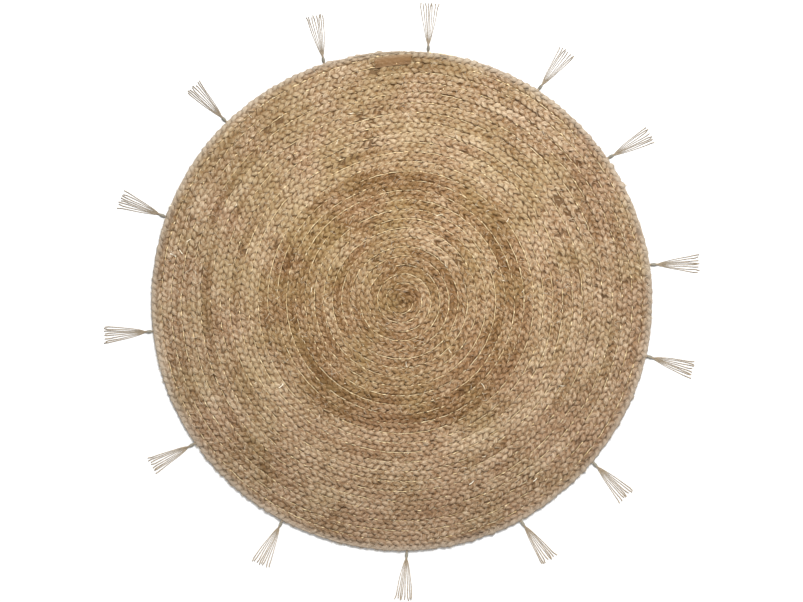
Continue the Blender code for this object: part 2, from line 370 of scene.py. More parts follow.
    # the hue drifts over the rug, with a little of the feed's own
    hue = addNode(tree, "ShaderNodeMix", {"Factor": settings["feedHue"], "A": hues, "B": feedHue},
                  data_type="FLOAT")
    slope = addNode(tree, "ShaderNodeVectorMath", {0: place, 1: settings["hueSlope"]}, "Value",
                    operation="DOT_PRODUCT")
    hue = addNode(tree, "ShaderNodeMath", {0: hue, 1: slope}, operation="ADD")
    colour = ramp
    for label in ("golden", "rosy"):
        start, full = settings[f"{label}Range"]
        amount = addNode(tree, "ShaderNodeMapRange", {"Value": hue, "From Min": start, "From Max": full,
                         "To Max": settings[f"{label}Most"]})
        colour = addNode(tree, "ShaderNodeMix", {"Factor": amount, "A": colour,
                         "B": hexColour(settings[label])}, data_type="RGBA")
    # the outer turns are greyer, and the outer edge is mixed towards a pale grey
    faded = addNode(tree, "ShaderNodeMapRange", {"Value": radius, "From Min": settings["fadeStart"],
                    "From Max": rugRadius, "To Max": settings["fadeMost"]})
    colour = addNode(tree, "ShaderNodeHueSaturation", {"Color": colour,
                     "Saturation": settings["fadeSaturation"], "Fac": faded})
    start, full = settings["rimRange"]
    rim = addNode(tree, "ShaderNodeMapRange", {"Value": radius, "From Min": rugRadius - start,
                  "From Max": rugRadius - full, "To Max": settings["rimMost"]})
    colour = addNode(tree, "ShaderNodeMix", {"Factor": rim, "A": colour, "B": hexColour(settings["rim"])},
                     data_type="RGBA")
    # painted shade: the colour darkens low in a crevice, down a strand's sides and where the strand dives
    # under another
    height = addNode(tree, "ShaderNodeSeparateXYZ", {0: place}, "Z")
    section = addNode(tree, "ShaderNodeSeparateXYZ", {0: straight}, "Z")
    over = addNode(tree, "ShaderNodeAttribute", {}, "Fac", attribute_name="over")
    paintedShade = 0.0
    for measure, label in ((height, "crevice"), (section, "flank"), (over, "diving")):
        start, full = settings[f"{label}Range"]
        darker = addNode(tree, "ShaderNodeMapRange", {"Value": measure, "From Min": start, "From Max": full,
                         "To Max": settings[f"{label}Most"]})
        paintedShade = addNode(tree, "ShaderNodeMath", {0: paintedShade, 1: darker}, operation="MAXIMUM")
    inside = addNode(tree, "ShaderNodeMath", {0: 1.0, 1: rim}, operation="SUBTRACT")
    paintedShade = addNode(tree, "ShaderNodeMath", {0: paintedShade, 1: inside}, operation="MULTIPLY")
    # painted shade: the crease shade is made lighter on the near side and darker on the far side
    back = addNode(tree, "ShaderNodeSeparateXYZ", {0: place}, "Y")
    least, most = settings["creaseShades"]
    creaseShadeSlope = addNode(tree, "ShaderNodeMapRange", {"Value": back, "From Min": -rugRadius,
                   "From Max": rugRadius, "To Min": least, "To Max": most})
    paintedShade = addNode(tree, "ShaderNodeMath", {0: paintedShade, 1: creaseShadeSlope}, operation="MULTIPLY")
    colour = addNode(tree, "ShaderNodeMix", {"Factor": paintedShade, "A": colour, "B": hexColour(settings["paintedShade"])},
                     data_type="RGBA")
    bump = addNode(tree, "ShaderNodeBump", {"Height": fibres, "Strength": 1.0,
                   "Distance": settings["bumpDepth"]})
    start, full = settings["shineRange"]
    matt, shiny = settings["roughness"]
    shine = addNode(tree, "ShaderNodeMapRange", {"Value": fibres, "From Min": start, "From Max": full,
                    "To Min": matt, "To Max": shiny})
    shader = addNode(tree, "ShaderNodeBsdfPrincipled", {"Base Color": colour, "Roughness": shine,
                     "Normal": bump, "Specular IOR Level": settings["specular"]})
    addNode(tree, "ShaderNodeOutputMaterial", {"Surface": shader})
    return material


# the three strands of the braid
braid = {
    "period": 0.0520,           # a strand's way from one side of the braid to the other and back
    "pointsPerPeriod": 12,
    "sides": 8,
    "swing": 0.0070,            # how far a strand goes to either side
    "rise": 0.0026,             # and up and down, as it passes over and under
    "delay": 0.45,              # radians by which the rise comes after the swing
    "middle": 0.0050,           # height of the braid's middle
    "floor": 0.0003,
    "strandWidth": 0.0108,
    "strandThickness": 0.0072,
    "plumpness": 0.26,          # how much fuller a strand is on top than underneath
    "pinch": 0.12,              # and how much it is squeezed at the sides
    "squareness": 0.16,         # flattens the section's top and sides
    "taper": 0.7,               # power of the braid's width by which its strands thin out at the end
    "fibreStart": 60.0,         # metres between the fibre patterns of two strands
    # unevenness, and how many times its noise changes in a period of the braid
    "wobble": 1.8,              # radians by which crossings come early or late
    "wobbleScale": 0.9,
    "unevenness": 0.0110,       # metres by which lumps lie out of line
    "lumpiness": 1.5,           # and how much they vary in thickness
    "lumpScale": 2.2,
    "drift": 0.0070,            # metres by which the whole braid wanders
    "driftScale": 0.42,
    "lean": 0.9,                # how far sewing tips the braid over, more or less from place to place
    "leanScale": 4.0,           # to a metre of the rug
    # gaps, where a lump is too thin to fill its place
    "gaps": 0.17,               # how often they come where they cluster
    "clusterScale": 0.30,
    "clusterRange": (0.48, 0.68),
    "slackScale": 1.5,
    "slackRange": (0.30, 0.24),
    "slackDepth": 0.76,         # share of its thickness that such a lump lacks
    "farSide": (0.4, 0.9, 0.0),  # towards where the braid was drawn less tight
    "farGaps": 1.2,             # how much commoner they are for each metre that way
    "looseness": 0.05,          # and how much thinner all strands are
}


def strandTree():
    tree, given = newTree("braidedStrand", {
        "Period": braid["period"], "Phase": 0.0, "Swing": braid["swing"], "Rise": braid["rise"],
        "Delay": braid["delay"], "Middle Height": braid["middle"], "Floor": braid["floor"],
        "Strand Width": braid["strandWidth"], "Strand Thickness": braid["strandThickness"],
        "Sides": braid["sides"], "Plumpness": braid["plumpness"], "Pinch": braid["pinch"],
        "Squareness": braid["squareness"], "Wobble": braid["wobble"], "Unevenness": braid["unevenness"],
        "Drift": braid["drift"], "Lean": braid["lean"], "Gaps": braid["gaps"],
        "Looseness": braid["looseness"], "Fibre Start": 0.0, "Material": None,
    })
    along = addNode(tree, "GeometryNodeInputNamedAttribute", {"Name": "along"}, data_type="FLOAT")
    width = addNode(tree, "GeometryNodeInputNamedAttribute", {"Name": "width"}, data_type="FLOAT")
    outward = addNode(tree, "GeometryNodeInputNamedAttribute", {"Name": "outward"},
                      data_type="FLOAT_VECTOR")
    spot = addNode(tree, "GeometryNodeInputPosition")
    turns = addNode(tree, "ShaderNodeMath", {0: along, 1: given["Period"]}, operation="DIVIDE")
    phase = addNode(tree, "ShaderNodeMath", {0: turns, 1: 2.0 * math.pi, 2: given["Phase"]},
                    operation="MULTIPLY_ADD")
    # no two crossings are the same length, as in any braid made by hand
    turnsOnly = addNode(tree, "ShaderNodeCombineXYZ", {0: turns})
    wobble = addNode(tree, "ShaderNodeTexNoise", {"Vector": turnsOnly, "Scale": braid["wobbleScale"],
                     "Detail": 1.0})
    phase = addNode(tree, "ShaderNodeMath", {0: wobble, 1: given["Wobble"], 2: phase},
                    operation="MULTIPLY_ADD")
    swing = addNode(tree, "ShaderNodeMath", {0: phase}, operation="SINE")
    square = addNode(tree, "ShaderNodeMath", {0: swing, 1: swing}, operation="MULTIPLY")
    # sewing presses the bends flat: a strand runs nearly straight along the seam and crosses over quickly
    pressed = addNode(tree, "ShaderNodeMath", {0: square, 1: -0.5, 2: 1.5}, operation="MULTIPLY_ADD")
    for factor in (pressed, given["Swing"], width):
        swing = addNode(tree, "ShaderNodeMath", {0: swing, 1: factor}, operation="MULTIPLY")
    # it lies highest a little after it has crossed the middle
    double = addNode(tree, "ShaderNodeMath", {0: phase, 1: 2.0}, operation="MULTIPLY")
    double = addNode(tree, "ShaderNodeMath", {0: double, 1: given["Delay"]}, operation="SUBTRACT")
    over = addNode(tree, "ShaderNodeMath", {0: double}, operation="SINE")
    lift = addNode(tree, "ShaderNodeMath", {0: over, 1: given["Rise"], 2: given["Middle Height"]},
                   operation="MULTIPLY_ADD")
    lean = addNode(tree, "ShaderNodeTexNoise", {"Vector": spot, "Scale": braid["leanScale"], "Detail": 1.0})
    lean = addNode(tree, "ShaderNodeMath", {0: lean, 1: 0.5}, operation="SUBTRACT")
    lean = addNode(tree, "ShaderNodeMath", {0: lean, 1: given["Lean"]}, operation="MULTIPLY")
    lift = addNode(tree, "ShaderNodeMath", {0: swing, 1: lean, 2: lift}, operation="MULTIPLY_ADD")
    noiseAt = addNode(tree, "ShaderNodeCombineXYZ", {0: turns, 1: given["Fibre Start"]})
    noise = addNode(tree, "ShaderNodeTexNoise", {"Vector": noiseAt, "Scale": braid["lumpScale"],
                    "Detail": 1.0}, "Color")
    jitter = addNode(tree, "ShaderNodeVectorMath", {0: noise, 1: (0.5, 0.5, 0.5)}, operation="SUBTRACT")
    shake = addNode(tree, "ShaderNodeVectorMath", {0: jitter, "Scale": given["Unevenness"]},
                    operation="SCALE")
    # the whole braid wanders a little, so the seams open and close
    drift = addNode(tree, "ShaderNodeTexNoise", {"Vector": turnsOnly, "Scale": braid["driftScale"],
                    "Detail": 1.0})
    drift = addNode(tree, "ShaderNodeMath", {0: drift, 1: 0.5}, operation="SUBTRACT")
    drift = addNode(tree, "ShaderNodeMath", {0: drift, 1: given["Drift"]}, operation="MULTIPLY")
    drift = addNode(tree, "ShaderNodeVectorMath", {0: outward, "Scale": drift}, operation="SCALE")
    offset = addNode(tree, "ShaderNodeVectorMath", {0: outward, "Scale": swing}, operation="SCALE")
    upwards = addNode(tree, "ShaderNodeCombineXYZ", {2: lift})
    for move in (upwards, shake, drift):
        offset = addNode(tree, "ShaderNodeVectorMath", {0: offset, 1: move}, operation="ADD")
    # a strand is plumper where it lies on top, squeezed at the sides and uneven in thickness
    plump = addNode(tree, "ShaderNodeMath", {0: over, 1: given["Plumpness"], 2: 1.0},
                    operation="MULTIPLY_ADD")
    squeeze = addNode(tree, "ShaderNodeMath", {0: square, 1: given["Pinch"]}, operation="MULTIPLY")
    plump = addNode(tree, "ShaderNodeMath", {0: plump, 1: squeeze}, operation="SUBTRACT")
    vary = addNode(tree, "ShaderNodeSeparateXYZ", {0: jitter}, "X")
    plump = addNode(tree, "ShaderNodeMath", {0: vary, 1: braid["lumpiness"], 2: plump},
                    operation="MULTIPLY_ADD")
    # here and there a lump is sunken and thin, which leaves a dark gap
    slack = addNode(tree, "ShaderNodeTexNoise", {"Vector": noiseAt, "Scale": braid["slackScale"],
                    "Detail": 0.0})
    cluster = addNode(tree, "ShaderNodeTexNoise", {"Vector": turnsOnly, "Scale": braid["clusterScale"],
                      "Detail": 1.0})
    start, full = braid["clusterRange"]
    cluster = addNode(tree, "ShaderNodeMapRange", {"Value": cluster, "From Min": start, "From Max": full,
                      "To Max": given["Gaps"]})
    far = addNode(tree, "ShaderNodeVectorMath", {0: spot, 1: braid["farSide"]}, "Value",
                  operation="DOT_PRODUCT")
    often = addNode(tree, "ShaderNodeMath", {0: far, 1: braid["farGaps"], 2: 1.0},
                    operation="MULTIPLY_ADD")
    cluster = addNode(tree, "ShaderNodeMath", {0: cluster, 1: often}, operation="MULTIPLY")
    slack = addNode(tree, "ShaderNodeMath", {0: slack, 1: cluster}, operation="SUBTRACT")
    start, full = braid["slackRange"]
    slack = addNode(tree, "ShaderNodeMapRange", {"Value": slack, "From Min": start, "From Max": full,
                    "To Max": braid["slackDepth"]})
    looser = addNode(tree, "ShaderNodeMath", {0: far, 1: given["Looseness"]}, operation="MULTIPLY")
    for lack in (slack, looser):
        plump = addNode(tree, "ShaderNodeMath", {0: plump, 1: lack}, operation="SUBTRACT")
    thin = addNode(tree, "ShaderNodeMath", {0: width, 1: braid["taper"]}, operation="POWER")
    plump = addNode(tree, "ShaderNodeMath", {0: plump, 1: thin}, operation="MULTIPLY")
    curve = addNode(tree, "GeometryNodeMeshToCurve", {"Mesh": given["Geometry"]})
    curve = addNode(tree, "GeometryNodeStoreNamedAttribute", {"Geometry": curve, "Name": "over",
                    "Value": over}, data_type="FLOAT", domain="POINT")
    curve = addNode(tree, "GeometryNodeSetPosition", {"Geometry": curve, "Offset": offset})
    curve = addNode(tree, "GeometryNodeSetCurveNormal", {"Curve": curve}, mode="Z_UP")
    # the section: a flattened circle with fuller corners, which keeps its own place for the fibre pattern
    section = addNode(tree, "GeometryNodeCurvePrimitiveCircle", {"Resolution": given["Sides"],
                      "Radius": 0.5})
    spotX = addNode(tree, "ShaderNodeSeparateXYZ", {0: spot}, "X")
    product = addNode(tree, "ShaderNodeMath", {0: spotX, 1: spotX.node.outputs["Y"]}, operation="MULTIPLY")
    corner = addNode(tree, "ShaderNodeMath", {0: product, 1: 4.0}, operation="MULTIPLY")
    corner = addNode(tree, "ShaderNodeMath", {0: corner, 1: corner}, operation="MULTIPLY")
    fuller = addNode(tree, "ShaderNodeMath", {0: corner, 1: given["Squareness"], 2: 1.0},
                     operation="MULTIPLY_ADD")
    squared = addNode(tree, "ShaderNodeVectorMath", {0: spot, "Scale": fuller}, operation="SCALE")
    section = addNode(tree, "GeometryNodeSetPosition", {"Geometry": section, "Position": squared})
    size = addNode(tree, "ShaderNodeCombineXYZ", {0: given["Strand Width"], 1: given["Strand Thickness"],
                   2: 1.0})
    section = addNode(tree, "GeometryNodeTransform", {"Geometry": section, "Scale": size})
    section = addNode(tree, "GeometryNodeStoreNamedAttribute", {"Geometry": section, "Name": "section",
                      "Value": spot}, data_type="FLOAT_VECTOR", domain="POINT")
    strand = addNode(tree, "GeometryNodeCurveToMesh", {"Curve": curve, "Profile Curve": section,
                     "Scale": plump, "Fill Caps": True})
    run = addNode(tree, "ShaderNodeMath", {0: along, 1: given["Fibre Start"]}, operation="ADD")
    strand = storeFibre(tree, strand, run)
    # what would reach under the floor lies flat on it
    x = addNode(tree, "ShaderNodeSeparateXYZ", {0: spot}, "X")
    z = addNode(tree, "ShaderNodeMath", {0: x.node.outputs["Z"], 1: given["Floor"]}, operation="MAXIMUM")
    rest = addNode(tree, "ShaderNodeCombineXYZ", {0: x, 1: x.node.outputs["Y"], 2: z})
    strand = addNode(tree, "GeometryNodeSetPosition", {"Geometry": strand, "Position": rest})
    finishTree(tree, strand, given["Material"])
    return tree


juteFibre = makeJute("looselySpunJute", jute)
tree = strandTree()
strands = []
for number, letter in enumerate("ABC"):
    spacing = braid["period"] / braid["pointsPerPeriod"]
    path = spiralPath(spiral["firstTurn"], spiral["turns"], spacing)
    strand = growPiece(f"braidStrand{letter}", newGuide("strandGuide", *path), tree, {
        "Phase": number * 2.0 * math.pi / 3.0,
        "Fibre Start": braid["fibreStart"] * (number + 1),
        "Material": juteFibre,
    })
    strands.append(strand)


# along the edge the outermost strand lies pressed flat against the braid
pressedEdge = {
    "inset": 0.0030,
    "spacing": 0.0043,
    "lump": 0.0346,             # length of a lump
    "rise": 0.0004,
    "unevenness": 0.0018,
    "width": 0.0058,
    "thickness": 0.0094,
    "height": 0.0060,
    "plumpness": 0.08,
    "fibreStart": 5.0,
}

edgeGuide = newGuide("edgeGuide", *edgePath(pressedEdge["inset"], pressedEdge["spacing"]))
edgeStrand = growPiece("edgeStrand", edgeGuide, tree, {
    "Period": pressedEdge["lump"], "Swing": 0.0, "Rise": pressedEdge["rise"], "Lean": 0.0,
    "Unevenness": pressedEdge["unevenness"], "Middle Height": pressedEdge["height"],
    "Strand Width": pressedEdge["width"], "Strand Thickness": pressedEdge["thickness"],
    "Plumpness": pressedEdge["plumpness"], "Gaps": 0.0, "Drift": 0.0,
    "Fibre Start": pressedEdge["fibreStart"], "Material": juteFibre,
})


# the outermost turn was opened out, pressed flat and sewn down where the braid's end was tucked under it
boundEnd = {
    "from": 24.9430,            # turns
    "to": 24.9705,
    "lines": 7,
    "spread": 0.40,             # braid widths to either side
    "inset": 0.20,
    "spacing": 0.0040,
    "width": 0.0062,
    "thickness": 0.0042,
    "height": 0.0112,
    "unevenness": 0.0012,
    "period": 8.0,              # metres, so long that the lines hardly change
    "phase": 0.9,               # they lie on top, in a strand's rise and fall
    "endCut": 0.10,             # share of a half round by which each line's ends are cut off
    "endPower": 0.35,           # how bluntly they round off
    "fibreStart": 9.0,
    "fibreStep": 0.4,           # metres between the fibre patterns of two lines
    "colours": {"pale": "#A68D72", "tan": "#8A7256", "brown": "#745C40", "golden": "#8A7254",
                "rim": "#8F785C"},
}


def boundGuide():
    points, edges, runs, outward, width = [], [], [], [], []
    for line in range(boundEnd["lines"]):
        shift = boundEnd["spread"] * (2.0 * line / (boundEnd["lines"] - 1) - 1.0) - boundEnd["inset"]
        path, links, attributes = spiralPath(boundEnd["from"], boundEnd["to"], boundEnd["spacing"], shift)
        edges += [(a + len(points), b + len(points)) for a, b in links]
        points += list(path)
        runs += list(attributes["along"] + boundEnd["fibreStep"] * line)
        outward += list(attributes["outward"])
        share = np.linspace(boundEnd["endCut"], 1.0 - boundEnd["endCut"], len(path))
        width += list(np.sin(math.pi * share) ** boundEnd["endPower"])
    return newGuide("boundGuide", points, edges, {"along": runs, "outward": outward, "width": width})


boundFibre = growPiece("boundEnd", boundGuide(), tree, {
    "Period": boundEnd["period"], "Phase": boundEnd["phase"], "Swing": 0.0, "Rise": 0.0, "Lean": 0.0,
    "Unevenness": boundEnd["unevenness"], "Middle Height": boundEnd["height"],
    "Strand Width": boundEnd["width"], "Strand Thickness": boundEnd["thickness"],
    "Gaps": 0.0, "Drift": 0.0, "Fibre Start": boundEnd["fibreStart"],
    "Material": makeJute("pressedJute", {**jute, **boundEnd["colours"]}),
})


# the packed fibre in the middle of the braid, which closes the gaps between its strands; where it shows in
# the gaps it is painted dark as shade
core = {
    "low": 0.0030,              # height of its underside
    "high": 0.0044,             # and of its top
    "ringStep": 0.060,
    "lastInset": 0.010,         # no flat ring lies nearer the rim than this
    "segments": 288,
    "edge": 0.0095,             # the part of the rim that shows between the strands
    # painted shade: a darker shade colour, laid over nearly all of the packed fibre
    "colours": {"paintedShade": "#5A3200", "creviceRange": (0.0052, 0.0040)},
    "roll": [                   # the pressed outer edge: distance inside the rim, height
        (0.0085, 0.0050), (0.0058, 0.0074), (0.0034, 0.0078), (0.0018, 0.0066),
        (0.0012, 0.0044), (0.0020, 0.0024), (0.0045, 0.0012), (0.0085, 0.0022),
    ],
}


def makeCore(packed, edge):
    inner = np.arange(core["ringStep"], rugRadius - core["lastInset"], core["ringStep"])
    rings = [(radius, core["high"]) for radius in inner]
    rings += [(rugRadius - inset, level) for inset, level in core["roll"]]
    rings += [(radius, core["low"]) for radius in inner[::-1]]
    count = core["segments"]
    angles = np.arange(count) * 2.0 * math.pi / count
    points = [(0.0, 0.0, core["high"])]
    for radius, level in rings:
        wavy = radius * (1.0 + rimOffset(angles) * radius / rugRadius ** 2)
        points += [(r * math.cos(a), r * math.sin(a), level) for r, a in zip(wavy, angles)]
    points.append((0.0, 0.0, core["low"]))
    last = 1 + (len(rings) - 1) * count
    faces = []
    for one in range(count):
        other = (one + 1) % count
        faces.append((0, 1 + one, 1 + other))
        for ring in range(len(rings) - 1):
            a, b = 1 + ring * count + one, 1 + ring * count + other
            faces.append((a, a + count, b + count, b))
        faces.append((len(points) - 1, last + other, last + one))
    mesh = bpy.data.meshes.new("packedFibre")
    mesh.from_pydata(points, [], faces)
    # its fibres run round with the braid
    straight = mesh.attributes.new("fibre", "FLOAT_VECTOR", "CORNER")
    for face in mesh.polygons:
        middle = math.atan2(face.center[1], face.center[0])
        for corner, index in zip(face.loop_indices, face.vertices):
            x, y, z = points[index]
            angle = math.atan2(y, x)
            angle += 2.0 * math.pi * round((middle - angle) / (2.0 * math.pi))
            straight.data[corner].vector = (angle * rugRadius, math.hypot(x, y), -z)
    mesh.attributes.new("over", "FLOAT", "POINT").data.foreach_set("value", [1.0] * len(points))
    mesh.materials.append(packed)
    mesh.materials.append(edge)
    for face in mesh.polygons:
        face.material_index = int(math.hypot(*face.center[:2]) > rugRadius - core["edge"])
    mesh.shade_smooth()
    piece = bpy.data.objects.new("packedFibre", mesh)
    bpy.context.scene.collection.objects.link(piece)
    return piece


packedFibre = makeCore(makeJute("shadedPackedJute", {**jute, **core["colours"]}), juteFibre)
print("packed fibre made")


# the gold sewing thread in the seams
sewing = {
    "stitch": 0.0165,
    "spacing": 0.0041,
    "thickness": 0.0017,
    "height": 0.0100,
    "dip": 0.0012,              # where it goes down through the braid
    "sway": 0.0004,
    "sides": 5,
    "firstTurn": 0.25,
    # unevenness, and how many times its noise changes in a metre of thread
    "pullScale": 3.2,
    "pullRange": (0.58, 0.42),
    "pullDepth": 0.0034,        # in some stretches it is pulled in deep
    "outerRadii": (0.25, 0.45),
    "outerDepth": 0.0030,       # and in the outer turns it shows only in short pieces
    "pieceScale": 24.0,
    "pieceRange": (0.60, 0.46),
    "sideSlope": (0.0010, 0.0010, 0.0),  # drawn in harder towards this side, to a metre
    "looseScale": 80.0,
    "looseRange": (0.65, 0.71),
    "looseLift": 0.0018,        # a few loose stitches stand up
    "looseFullness": 0.9,       # and spread out
    "colours": ("#BE9F6C", "#E6D1A6"),
    "toneRange": (0.35, 0.62),
    "streaks": (120.0, 400.0, 400.0),  # to a metre: about 8 mm along the thread by 2.5 mm
}


def makeThread(name):  # mercerised sewing thread: smooth, pale gold and glossy, so it glints
    material, tree = newMaterial(name)
    straight = addNode(tree, "ShaderNodeAttribute", {}, "Vector", attribute_name="fibre")
    space = addNode(tree, "ShaderNodeVectorMath", {0: straight, 1: sewing["streaks"]}, operation="MULTIPLY")
    tone = addNode(tree, "ShaderNodeTexNoise", {"Vector": space, "Scale": 1.0, "Detail": 1.0})
    ramp = addNode(tree, "ShaderNodeValToRGB", {0: tone})
    stops = ramp.node.color_ramp.elements
    for stop, position, colour in zip(stops, sewing["toneRange"], sewing["colours"]):
        stop.position = position
        stop.color = hexColour(colour)
    shader = addNode(tree, "ShaderNodeBsdfPrincipled", {"Base Color": ramp, "Roughness": 0.35, "IOR": 1.52,
                     "Sheen Weight": 0.1})
    addNode(tree, "ShaderNodeOutputMaterial", {"Surface": shader})
    return material


def threadTree():
    tree, given = newTree("seamThread", {
        "Stitch": sewing["stitch"], "Height": sewing["height"], "Dip": sewing["dip"],
        "Sway": sewing["sway"], "Thickness": sewing["thickness"], "Sides": sewing["sides"],
        "Material": None,
    })
    along = addNode(tree, "GeometryNodeInputNamedAttribute", {"Name": "along"}, data_type="FLOAT")
    outward = addNode(tree, "GeometryNodeInputNamedAttribute", {"Name": "outward"},
                      data_type="FLOAT_VECTOR")
    spot = addNode(tree, "GeometryNodeInputPosition")
    noiseAt = addNode(tree, "ShaderNodeCombineXYZ", {0: along})
    count = addNode(tree, "ShaderNodeMath", {0: along, 1: given["Stitch"]}, operation="DIVIDE")
    phase = addNode(tree, "ShaderNodeMath", {0: count, 1: 2.0 * math.pi}, operation="MULTIPLY")
    wave = addNode(tree, "ShaderNodeMath", {0: phase}, operation="COSINE")
    wave = addNode(tree, "ShaderNodeMath", {0: wave, 1: 0.0}, operation="MAXIMUM")
    hole = addNode(tree, "ShaderNodeMath", {0: wave, 1: 2.0}, operation="POWER")
    # in some stretches the thread is pulled in deep between the turns
    pull = addNode(tree, "ShaderNodeTexNoise", {"Vector": noiseAt, "Scale": sewing["pullScale"],
                   "Detail": 2.0})
    start, full = sewing["pullRange"]
    sunk = addNode(tree, "ShaderNodeMapRange", {"Value": pull, "From Min": start, "From Max": full,
                   "To Max": sewing["pullDepth"]})
    drop = addNode(tree, "ShaderNodeMath", {0: hole, 1: given["Dip"], 2: sunk}, operation="MULTIPLY_ADD")
    # in the outer turns it shows only in short pieces
    radius = addNode(tree, "ShaderNodeVectorMath", {0: spot}, "Value", operation="LENGTH")
    start, full = sewing["outerRadii"]
    outer = addNode(tree, "ShaderNodeMapRange", {"Value": radius, "From Min": start, "From Max": full,
                    "To Max": sewing["outerDepth"]})
    pieces = addNode(tree, "ShaderNodeTexNoise", {"Vector": noiseAt, "Scale": sewing["pieceScale"],
                     "Detail": 1.0})
    start, full = sewing["pieceRange"]
    pieces = addNode(tree, "ShaderNodeMapRange", {"Value": pieces, "From Min": start, "From Max": full})
    drop = addNode(tree, "ShaderNodeMath", {0: pieces, 1: outer, 2: drop}, operation="MULTIPLY_ADD")
    # and it was drawn in harder on one side of the rug than on the other
    side = addNode(tree, "ShaderNodeVectorMath", {0: spot, 1: sewing["sideSlope"]}, "Value",
                   operation="DOT_PRODUCT")
    drop = addNode(tree, "ShaderNodeMath", {0: drop, 1: side}, operation="ADD")
    # a few loose stitches stand up and catch the light
    loose = addNode(tree, "ShaderNodeTexNoise", {"Vector": noiseAt, "Scale": sewing["looseScale"],
                    "Detail": 0.0})
    start, full = sewing["looseRange"]
    loose = addNode(tree, "ShaderNodeMapRange", {"Value": loose, "From Min": start, "From Max": full})
    taut = addNode(tree, "ShaderNodeMath", {0: 1.0, 1: loose}, operation="SUBTRACT")
    drop = addNode(tree, "ShaderNodeMath", {0: drop, 1: taut}, operation="MULTIPLY")
    drop = addNode(tree, "ShaderNodeMath", {0: loose, 1: -sewing["looseLift"], 2: drop},
                   operation="MULTIPLY_ADD")
    height = addNode(tree, "ShaderNodeMath", {0: given["Height"], 1: drop}, operation="SUBTRACT")
    half = addNode(tree, "ShaderNodeMath", {0: phase, 1: 0.5}, operation="MULTIPLY")
    sway = addNode(tree, "ShaderNodeMath", {0: half}, operation="SINE")
    sway = addNode(tree, "ShaderNodeMath", {0: sway, 1: given["Sway"]}, operation="MULTIPLY")
    sideways = addNode(tree, "ShaderNodeVectorMath", {0: outward, "Scale": sway}, operation="SCALE")
    upwards = addNode(tree, "ShaderNodeCombineXYZ", {2: height})
    offset = addNode(tree, "ShaderNodeVectorMath", {0: sideways, 1: upwards}, operation="ADD")
    curve = addNode(tree, "GeometryNodeMeshToCurve", {"Mesh": given["Geometry"]})
    curve = addNode(tree, "GeometryNodeSetPosition", {"Geometry": curve, "Offset": offset})
    curve = addNode(tree, "GeometryNodeSetCurveNormal", {"Curve": curve}, mode="Z_UP")
    radius = addNode(tree, "ShaderNodeMath", {0: given["Thickness"], 1: 0.5}, operation="MULTIPLY")
    section = addNode(tree, "GeometryNodeCurvePrimitiveCircle", {"Resolution": given["Sides"],
                      "Radius": radius})
    fuller = addNode(tree, "ShaderNodeMath", {0: loose, 1: sewing["looseFullness"], 2: 1.0},
                     operation="MULTIPLY_ADD")
    thread = addNode(tree, "GeometryNodeCurveToMesh", {"Curve": curve, "Profile Curve": section,
                     "Scale": fuller, "Fill Caps": True})
    z = addNode(tree, "ShaderNodeSeparateXYZ", {0: spot}, "Z")
    fibre = addNode(tree, "ShaderNodeCombineXYZ", {0: along, 1: z})
    thread = addNode(tree, "GeometryNodeStoreNamedAttribute", {"Geometry": thread, "Name": "fibre",
                     "Value": fibre}, data_type="FLOAT_VECTOR", domain="POINT")
    finishTree(tree, thread, given["Material"])
    return tree


path = spiralPath(sewing["firstTurn"], spiral["turns"] - 1.0, sewing["spacing"], 0.5)
thread = growPiece("seamThread", newGuide("seamGuide", *path), threadTree(),
                   {"Material": makeThread("mercerisedThread")})


# loose fibres standing off the braid, longer and denser round the rim
fuzz = {
    "sides": 3,
    "bends": 2,
    "ceiling": 0.0165,
    "seed": 3,
    "colours": ("#BDA986", "#E2D6C0"),
    "strawGlintColours": ("#EBDDBC", "#F7EEDA"),
    "toneRange": (0.35, 0.65),
    "toneScale": 60.0,          # changes of shade to a metre
    # density is to a square metre of strand, stand is in radians off its surface, and slope is how far
    # that surface faces upwards, from -1 to 1, with 2 for no limit
    "kinds": [
        {"name": "top", "density": 3400.0, "length": (0.006, 0.016), "stand": (-0.10, 0.35),
         "slope": (0.35, 2.0), "thickness": 0.00050, "leastRadius": 0.0},
        {"name": "straw", "density": 30.0, "length": (0.007, 0.016), "stand": (0.0, 0.10),
         "slope": (0.35, 2.0), "thickness": 0.0020, "leastRadius": 0.0},  # flakes of unretted stalk; their near-white colour also paints in glints
        {"name": "rim", "density": 60000.0, "length": (0.003, 0.0065), "stand": (0.5, 1.5),
         "slope": (-0.3, 0.75), "thickness": 0.00050, "leastRadius": rugRadius - 0.0035},
    ],
}


def makeFuzz(name, colours):  # single bast fibres: straw pale, a little shiny, each its own shade
    material, tree = newMaterial(name)
    place = addNode(tree, "ShaderNodeTexCoord", {}, "Object")
    tone = addNode(tree, "ShaderNodeTexNoise", {"Vector": place, "Scale": fuzz["toneScale"], "Detail": 1.0})
    ramp = addNode(tree, "ShaderNodeValToRGB", {0: tone})
    stops = ramp.node.color_ramp.elements
    for stop, position, colour in zip(stops, fuzz["toneRange"], colours):
        stop.position = position
        stop.color = hexColour(colour)
    shader = addNode(tree, "ShaderNodeBsdfPrincipled", {"Base Color": ramp, "Roughness": 0.55})
    addNode(tree, "ShaderNodeOutputMaterial", {"Surface": shader})
    return material


